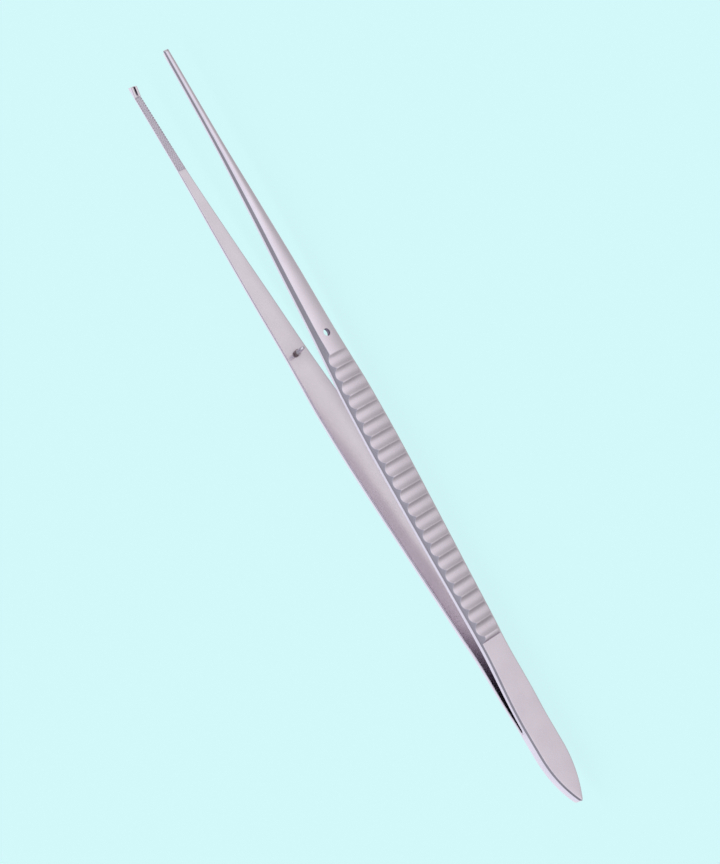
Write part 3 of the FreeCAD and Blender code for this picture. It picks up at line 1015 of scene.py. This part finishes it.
@dataclass(frozen=True)
class GuidePin:
    """The turned guide pin: a tenon through the arm, a collar on its inner face and a slim shank.

    Attributes:
        station: Where along the arm it stands.
        tenon_radius: The tenon's radius.
        tenon_length: How far the tenon reaches into the arm.
        clearance: The gap round the tenon in its bore.
        collar_radius: The collar's radius.
        collar_length: The collar's height.
        rounding: The rounding of the collar's two edges.
        neck_run: The length of the taper from collar to shank.
        shank_radius: The shank's radius at the collar.
        point_radius: The radius of its rounded point.
        length: The height of the point above the inner face.
        bend: The angles at which a rounding has its points, in degrees.
        shank_points: The points of the outline along the shank.
        spans: The spans of the mesh round the pin.
    """

    station: float = 130.74
    tenon_radius: float = 0.5
    tenon_length: float = 1.91
    clearance: float = 0.01
    collar_radius: float = 0.82
    collar_length: float = 0.95
    rounding: float = 0.12
    neck_run: float = 0.18
    shank_radius: float = 0.58
    point_radius: float = 0.4
    length: float = 4.4
    bend: tuple[float, ...] = (0.0, 22.5, 45.0, 67.5, 90.0)
    shank_points: int = 9
    spans: int = 48

    def build(self, line: ArmLine) -> bpy.types.Object:
        """Makes the pin where it stands on the toothed arm.

        Args:
            line: The arm's line.

        Returns:
            The pin's object.
        """
        soft = self.rounding
        bend = [math.radians(angle) for angle in self.bend]
        collar = [
            (self.collar_radius - soft * (1 - math.sin(angle)), soft * (1 - math.cos(angle)))
            for angle in bend
        ]
        shoulder = [
            (self.collar_radius - soft * (1 - math.cos(angle)),
             self.collar_length - soft * (1 - math.sin(angle)))
            for angle in bend
        ]
        neck_end = self.collar_length + self.neck_run
        shank_end = self.length - self.point_radius
        shank = [
            (self.shank_radius + (self.point_radius - self.shank_radius) * share ** 2,
             neck_end + (shank_end - neck_end) * share)
            for share in np.linspace(0.0, 1.0, self.shank_points)
        ]
        point = [
            (self.point_radius * math.cos(angle), shank_end + self.point_radius * math.sin(angle))
            for angle in bend[1:-1]
        ]
        inward = [(0.0, -self.tenon_length), (self.tenon_radius, -self.tenon_length),
                  (self.tenon_radius, 0.0), *collar, *shoulder, *shank, *point, (0.0, self.length)]
        pin = turned("turned_pin", [(radius, -height) for radius, height in inward], self.spans)
        pin.data.transform(across_arm(self.station, Side.PIN, line))
        tidy(pin.data)
        return pin


@dataclass
class NodeDesk:
    """A node tree under construction.

    Attributes:
        tree: The tree.
    """

    tree: bpy.types.NodeTree

    def add(self, kind: str, **settings: object) -> bpy.types.Node:
        """Adds a node.

        Args:
            kind: The node's type, without its common first word.
            settings: The node's properties, and its input values by their names with _ for spaces.

        Returns:
            The node.
        """
        node = self.tree.nodes.new(f"ShaderNode{kind}")
        for name, value in settings.items():
            if hasattr(node, name):
                setattr(node, name, value)
            else:
                node.inputs[name.replace("_", " ")].default_value = value
        return node

    def join(self, source: bpy.types.NodeSocket, target: bpy.types.NodeSocket) -> None:
        """Joins an output to an input."""
        self.tree.links.new(source, target)

    def ramp(
        self, value: bpy.types.NodeSocket, source: tuple[float, float], target: tuple[float, float],
        smooth: bool = True,
    ) -> bpy.types.NodeSocket:
        """Carries a value from one range to another.

        Args:
            value: The output to read.
            source: The range to read.
            target: What its two ends become.
            smooth: Whether the change is eased at both ends.

        Returns:
            The output of the change.
        """
        node = self.add(
            "MapRange", interpolation_type="SMOOTHSTEP" if smooth else "LINEAR",
            From_Min=source[0], From_Max=source[1], To_Min=target[0], To_Max=target[1])
        self.join(value, node.inputs["Value"])
        return node.outputs["Result"]

    def times(self, first: bpy.types.NodeSocket, second: bpy.types.NodeSocket) -> bpy.types.NodeSocket:
        """Multiplies two values.

        Args:
            first: The output with the first value.
            second: The output with the second value.

        Returns:
            The output of the product.
        """
        node = self.add("Math", operation="MULTIPLY")
        self.join(first, node.inputs[0])
        self.join(second, node.inputs[1])
        return node.outputs["Value"]

    def blend(
        self, share: bpy.types.NodeSocket, first: Colour, second: Colour,
    ) -> bpy.types.NodeSocket:
        """Blends two colours.

        Args:
            share: The output with the second colour's share, from 0 to 1.
            first: The first colour.
            second: The second colour.

        Returns:
            The output of the blend.
        """
        node = self.add("Mix", data_type="RGBA")
        node.inputs["A"].default_value = (*first, 1.0)
        node.inputs["B"].default_value = (*second, 1.0)
        self.join(share, node.inputs["Factor"])
        return node.outputs["Result"]


def new_finish(name: str) -> tuple[bpy.types.Material, NodeDesk, bpy.types.Node]:
    """Starts a metal finish.

    Args:
        name: The material's name.

    Returns:
        The material, its node tree and its shader.
    """
    material = bpy.data.materials.new(name)
    material.use_nodes = True
    shader = material.node_tree.nodes["Principled BSDF"]
    shader.inputs["Metallic"].default_value = 1.0
    return material, NodeDesk(material.node_tree), shader


@dataclass(frozen=True)
class SatinSteel:
    """Satin stainless steel with a fine grain along the arms and a faint cloudiness, and painted shade in
    narrow gaps where it is asked for.

    Attributes:
        name: The material's name.
        colour: The colour where the steel is brightest.
        shade: The colour where it is dullest.
        roughness: The roughness from the smoothest grain to the coarsest.
        grain_scale: How many marks of the grain a metre holds along X, Y and Z.
        grain_detail: The levels of finer marks in the grain.
        grain_range: The part of the grain's values that the roughness follows.
        grain_bump: The strength of the grain's relief.
        grain_depth: The depth of that relief in metres.
        cloud_scale: How many clouds a metre holds.
        cloud_detail: The levels of finer clouds.
        cloud_range: The part of the clouds' values that the colour follows.
        painted_shade_reach: How far off, in metres, a facing surface paints shade into this one's colour;
            0 leaves it out.
        painted_shade_colour: The colour of the painted shade deep in a narrow gap, where another surface
            faces this one closely.
        painted_shade_samples: The samples that look for a facing surface.
    """

    name: str = "satin_steel"
    colour: Colour = (0.745, 0.68, 0.755)
    shade: Colour = (0.705, 0.64, 0.715)
    roughness: tuple[float, float] = (0.2, 0.28)
    grain_scale: tuple[float, float, float] = (600.0, 6000.0, 6000.0)
    grain_detail: float = 4.0
    grain_range: tuple[float, float] = (0.3, 0.7)
    grain_bump: float = 0.05
    grain_depth: float = 0.00002
    cloud_scale: float = 160.0
    cloud_detail: float = 3.0
    cloud_range: tuple[float, float] = (0.35, 0.65)
    painted_shade_reach: float = 0.0
    painted_shade_colour: Colour = (0.3, 0.265, 0.33)
    painted_shade_samples: int = 12

    def make(self) -> bpy.types.Material:
        """Builds the finish's node tree.

        Returns:
            The material.
        """
        material, desk, shader = new_finish(self.name)
        place = desk.add("TexCoord").outputs["Object"]
        stretch = desk.add("Mapping", Scale=self.grain_scale)
        desk.join(place, stretch.inputs["Vector"])
        grain = desk.add("TexNoise", Scale=1.0, Detail=self.grain_detail)
        desk.join(stretch.outputs["Vector"], grain.inputs["Vector"])
        cloud = desk.add("TexNoise", Scale=self.cloud_scale, Detail=self.cloud_detail)
        desk.join(place, cloud.inputs["Vector"])
        patch = desk.ramp(cloud.outputs["Fac"], self.cloud_range, (0.0, 1.0), smooth=False)
        tint = desk.blend(patch, self.shade, self.colour)
        # Painted shade: when a reach is given, the colour darkens in narrow gaps.
        if self.painted_shade_reach:
            tint = self.paint_shade_in_gaps(desk, tint)
        desk.join(tint, shader.inputs["Base Color"])
        gloss = desk.ramp(grain.outputs["Fac"], self.grain_range, self.roughness, smooth=False)
        desk.join(gloss, shader.inputs["Roughness"])
        relief = desk.add("Bump", Strength=self.grain_bump, Distance=self.grain_depth)
        desk.join(grain.outputs["Fac"], relief.inputs["Height"])
        desk.join(relief.outputs["Normal"], shader.inputs["Normal"])
        return material

    def paint_shade_in_gaps(self, desk: NodeDesk, tint: bpy.types.NodeSocket) -> bpy.types.NodeSocket:
        """Paints shade into the steel's colour where another surface faces it closely.

        Args:
            desk: The finish's node tree.
            tint: The output with the open surface's colour.

        Returns:
            The output with the colour of open and narrow places alike.
        """
        # Painted shade: ambient occlusion mixes the base colour towards a dark shade where another
        # surface faces closely.
        facing = desk.add(
            "AmbientOcclusion", samples=self.painted_shade_samples, Distance=self.painted_shade_reach)
        node = desk.add("Mix", data_type="RGBA")
        node.inputs["A"].default_value = (*self.painted_shade_colour, 1.0)
        desk.join(tint, node.inputs["B"])
        desk.join(facing.outputs["AO"], node.inputs["Factor"])
        return node.outputs["Result"]


@dataclass(frozen=True)
class BoreSteel:
    """Drilled steel inside the guide hole, with fine rings round it, and a near-white colour that is
    painted highlight.

    Attributes:
        name: The material's name.
        colour: The steel's colour, near white as painted highlight.
        roughness: The roughness from the smoothest ring to the coarsest.
        ring_scale: How many marks a metre holds along X, Y and Z.
        ring_detail: The levels of finer marks.
        ring_range: The part of the marks' values that the roughness follows.
    """

    name: str = "drilled_steel_painted_highlight"
    colour: Colour = (0.98, 0.96, 0.98)
    roughness: tuple[float, float] = (0.12, 0.2)
    ring_scale: tuple[float, float, float] = (300.0, 16000.0, 300.0)
    ring_detail: float = 2.0
    ring_range: tuple[float, float] = (0.3, 0.7)

    def make(self) -> bpy.types.Material:
        """Builds the finish's node tree.

        Returns:
            The material.
        """
        material, desk, shader = new_finish(self.name)
        # Painted highlight: the bore's colour is lighter than the arms' steel, so that the hole shows
        # white.
        shader.inputs["Base Color"].default_value = (*self.colour, 1.0)
        place = desk.add("TexCoord").outputs["Object"]
        rings = desk.add("Mapping", Scale=self.ring_scale)
        desk.join(place, rings.inputs["Vector"])
        marks = desk.add("TexNoise", Scale=1.0, Detail=self.ring_detail)
        desk.join(rings.outputs["Vector"], marks.inputs["Vector"])
        gloss = desk.ramp(marks.outputs["Fac"], self.ring_range, self.roughness, smooth=False)
        desk.join(gloss, shader.inputs["Roughness"])
        return material


@dataclass(frozen=True)
class PinSteel:
    """Turned steel of the guide pin, dark brown at its collar and lighter along its shank.

    Attributes:
        name: The material's name.
        collar: The colour of the collar.
        shank: The colour of the shank.
        change_run: The length in metres over which the one gives way to the other.
        turning_scale: How many turning marks a metre holds.
        turning_range: The part of the marks' values that the roughness follows.
        roughness: The roughness from the smoothest mark to the coarsest.
    """

    name: str = "turned_pin_steel"
    collar: Colour = (0.3, 0.235, 0.225)
    shank: Colour = (0.7, 0.66, 0.69)
    change_run: float = 0.0002
    turning_scale: float = 9000.0
    turning_range: tuple[float, float] = (0.2, 0.8)
    roughness: tuple[float, float] = (0.06, 0.16)

    def make(self, collar_end: float) -> bpy.types.Material:
        """Builds the finish's node tree.

        Args:
            collar_end: The Y in the frame at which the collar gives way to the shank.

        Returns:
            The material.
        """
        material, desk, shader = new_finish(self.name)
        place = desk.add("TexCoord").outputs["Object"]
        split = desk.add("SeparateXYZ")
        desk.join(place, split.inputs["Vector"])
        ends = (collar_end - self.change_run / 2, collar_end + self.change_run / 2)
        # Blends from the shank's lighter colour to the collar's dark brown across collar_end.
        collar_share = desk.ramp(split.outputs["Y"], ends, (0.0, 1.0))
        desk.join(desk.blend(collar_share, self.shank, self.collar), shader.inputs["Base Color"])
        turning = desk.add("TexNoise", Scale=self.turning_scale)
        desk.join(place, turning.inputs["Vector"])
        gloss = desk.ramp(turning.outputs["Fac"], self.turning_range, self.roughness, smooth=False)
        desk.join(gloss, shader.inputs["Roughness"])
        return material


@dataclass(frozen=True)
class Viewpoint:
    """The photograph's viewpoint.

    Attributes:
        azimuth: The turn round the forceps from straight in front.
        elevation: The angle above the floor.
        roll: The turn of the camera about its own axis.
        distance: The distance from the target in metres.
        target: The point that the camera looks at.
        focal_pixels: The focal length in pixels of the picture.
        picture_height: The picture's longer side in pixels.
        sensor: The sensor's longer side in millimetres.
        nearest: The distance in metres from which the camera sees.
    """

    azimuth: float = math.radians(-1.86)
    elevation: float = math.radians(34.76)
    roll: float = math.radians(-119.43)
    distance: float = 0.5743
    target: tuple[float, float, float] = (0.00064, 0.0, 0.00537)
    focal_pixels: float = 2326.5
    picture_height: float = 864.0
    sensor: float = 36.0
    nearest: float = 0.05

    def make(self) -> bpy.types.Object:
        """Adds the camera to the scene.

        Returns:
            The camera.
        """
        back = Vector((
            math.sin(self.azimuth) * math.cos(self.elevation),
            -math.cos(self.azimuth) * math.cos(self.elevation),
            math.sin(self.elevation)))
        right = (-back).cross(Vector((0.0, 0.0, 1.0))).normalized()
        up = right.cross(-back)
        turned_right = right * math.cos(self.roll) + up * math.sin(self.roll)
        turned_up = -right * math.sin(self.roll) + up * math.cos(self.roll)
        data = bpy.data.cameras.new("camera")
        data.sensor_width = self.sensor
        data.lens = self.focal_pixels / self.picture_height * self.sensor
        data.clip_start = self.nearest
        camera = bpy.data.objects.new("camera", data)
        camera.matrix_world = (
            Matrix.Translation(Vector(self.target) + back * self.distance)
            @ Matrix((turned_right, turned_up, back)).transposed().to_4x4())
        bpy.context.scene.collection.objects.link(camera)
        bpy.context.scene.camera = camera
        return camera


@dataclass(frozen=True)
class Studio:
    """A pale floor and backdrop, and an even surround for the steel to mirror.

    Attributes:
        backdrop: The colour of the floor and of what lies beyond it.
        floor_size: The floor's width and length in metres.
        glow: The share of the floor's brightness that doesn't wait for light.
        glow_level: The brightness of that share.
        warm: The tint of the light from the front and below.
        cool: The tint of the light from above and behind.
        from_below: The light's level straight below and at the horizon.
        from_above: The share of that level left at the horizon and high above the front.
        from_behind: The share of that level behind the forceps.
        from_tail: The share of the level left on the side of the tail.
        from_tips: The share left on the side of the tips.
        low_heights: The heights of the directions between which the lower light changes.
        high_heights: Those between which the upper light changes.
        back_depths: The depths between which the light from the front gives way to that from behind.
        tail_sides: The places along the forceps between which the tail's side changes.
        tip_sides: Those between which the side of the tips changes.
        cool_heights: The heights between which the warm tint gives way to the cool one.
    """

    backdrop: Colour = (0.658, 0.947, 0.956)
    floor_size: float = 6.0
    glow: float = 0.84
    glow_level: float = 1.065
    warm: Colour = (1.0, 0.995, 1.0)
    cool: Colour = (0.97, 1.02, 1.1)
    from_below: tuple[float, float] = (0.58, 1.14)
    from_above: tuple[float, float] = (1.0, 0.32)
    from_behind: float = 0.93
    from_tail: float = 0.42
    from_tips: float = 0.68
    low_heights: tuple[float, float] = (-1.0, -0.1)
    high_heights: tuple[float, float] = (0.1, 0.8)
    back_depths: tuple[float, float] = (0.0, 0.6)
    tail_sides: tuple[float, float] = (-0.9, -0.3)
    tip_sides: tuple[float, float] = (0.0, 0.75)
    cool_heights: tuple[float, float] = (-0.5, 0.5)

    def floor(self) -> bpy.types.Object:
        """Makes the floor under the forceps.

        Returns:
            The floor.
        """
        mesh = bpy.data.meshes.new("floor")
        half = self.floor_size / 2
        mesh.from_pydata(
            [(-half, -half, 0.0), (half, -half, 0.0), (half, half, 0.0), (-half, half, 0.0)],
            [], [(0, 1, 2, 3)])
        floor = bpy.data.objects.new("floor", mesh)
        bpy.context.scene.collection.objects.link(floor)
        material = bpy.data.materials.new("pale_floor")
        material.use_nodes = True
        desk = NodeDesk(material.node_tree)
        material.node_tree.nodes.remove(material.node_tree.nodes["Principled BSDF"])
        colour = (*self.backdrop, 1.0)
        matt = desk.add("BsdfDiffuse", Color=colour)
        glow = desk.add("Emission", Color=colour, Strength=self.glow_level)
        lit = desk.add("MixShader", Fac=self.glow)
        desk.join(matt.outputs["BSDF"], lit.inputs[1])
        desk.join(glow.outputs["Emission"], lit.inputs[2])
        desk.join(lit.outputs["Shader"], material.node_tree.nodes["Material Output"].inputs["Surface"])
        mesh.materials.append(material)
        floor.visible_glossy = False
        return floor

    def world(self) -> bpy.types.World:
        """Makes the surround: the backdrop for the camera, a graded light for everything else.

        Returns:
            The world.
        """
        world = bpy.data.worlds.new("studio")
        bpy.context.scene.world = world
        world.use_nodes = True
        desk = NodeDesk(world.node_tree)
        seen = world.node_tree.nodes["Background"]
        seen.inputs["Color"].default_value = (*self.backdrop, 1.0)
        seen.inputs["Strength"].default_value = 1.0
        light = desk.add("Background")
        split = desk.add("SeparateXYZ")
        desk.join(desk.add("TexCoord").outputs["Generated"], split.inputs["Vector"])
        along, depth, height = (split.outputs[axis] for axis in "XYZ")
        below = desk.ramp(height, self.low_heights, self.from_below)
        above = desk.ramp(height, self.high_heights, self.from_above)
        share = desk.add("Mix", data_type="FLOAT", B=self.from_behind)
        desk.join(desk.ramp(depth, self.back_depths, (0.0, 1.0)), share.inputs["Factor"])
        sideways = desk.times(
            desk.ramp(along, self.tail_sides, (self.from_tail, 1.0)),
            desk.ramp(along, self.tip_sides, (1.0, self.from_tips)))
        desk.join(desk.times(above, sideways), share.inputs["A"])
        strength = desk.times(below, share.outputs["Result"])
        desk.join(strength, light.inputs["Strength"])
        cooler = desk.ramp(height, self.cool_heights, (0.0, 1.0))
        desk.join(desk.blend(cooler, self.warm, self.cool), light.inputs["Color"])
        path = desk.add("LightPath")
        chosen = desk.add("MixShader")
        desk.join(path.outputs["Is Camera Ray"], chosen.inputs["Fac"])
        desk.join(light.outputs["Background"], chosen.inputs[1])
        desk.join(seen.outputs["Background"], chosen.inputs[2])
        desk.join(chosen.outputs["Shader"], world.node_tree.nodes["World Output"].inputs["Surface"])
        return world


def dress(piece: bpy.types.Object, finishes: list[bpy.types.Material]) -> None:
    """Gives a new piece its finishes in order.

    Args:
        piece: The piece, which has no finish yet.
        finishes: Its finishes.
    """
    for finish in finishes:
        piece.data.materials.append(finish)


def seat(piece: bpy.types.Object, node: str) -> None:
    """Lets a piece stand for a node and reports it.

    Args:
        piece: The piece.
        node: The node that it stands for.
    """
    even = piece.modifiers.new("even_shading", "WEIGHTED_NORMAL")
    even.keep_sharp = True
    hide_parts(node)
    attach(piece, "root")
    log.info("%s has %d faces", piece.name, len(piece.data.polygons))


def main() -> None:
    """Builds the pieces in order and reports each one."""
    logging.basicConfig(level=logging.INFO, format="%(name)s: %(message)s")
    bpy.context.scene.view_settings.view_transform = "Standard"
    Viewpoint().make()
    studio = Studio()
    studio.floor()
    studio.world()
    finishes = [
        SatinSteel().make(),
        # The inner faces get a lighter copy of the satin steel as painted light, and painted shade in the
        # gaps where the other arm or the pin faces them.
        SatinSteel(
            name="inner_face_steel_painted_light_and_shade", colour=(0.82, 0.755, 0.82), shade=(0.785, 0.72, 0.785),
            painted_shade_reach=0.0045).make(),
        BoreSteel().make(),
    ]
    pin = GuidePin()
    for arm, hole in (
        (Arm("toothed_arm", "pin_arm", Side.PIN, Tip.TWO_TEETH),
         CrossHole(radius=pin.tenon_radius + pin.clearance, mouth=0.0, flare=0.02)),
        (Arm("pointed_arm", "hole_arm", Side.HOLE, Tip.ONE_TOOTH),
         CrossHole(radius=0.77, mouth=0.6, flare=0.16)),
    ):
        piece = arm.build()
        dress(piece, finishes)
        hole.drill(piece, arm.line, arm.side)
        seat(piece, arm.node)
    line = ArmLine()
    piece = pin.build(line)
    foot = across_arm(pin.station, Side.PIN, line).translation.y
    dress(piece, [PinSteel().make(foot - pin.collar_length * MM)])
    seat(piece, "guide_pin")


if __name__ == "__main__":
    main()
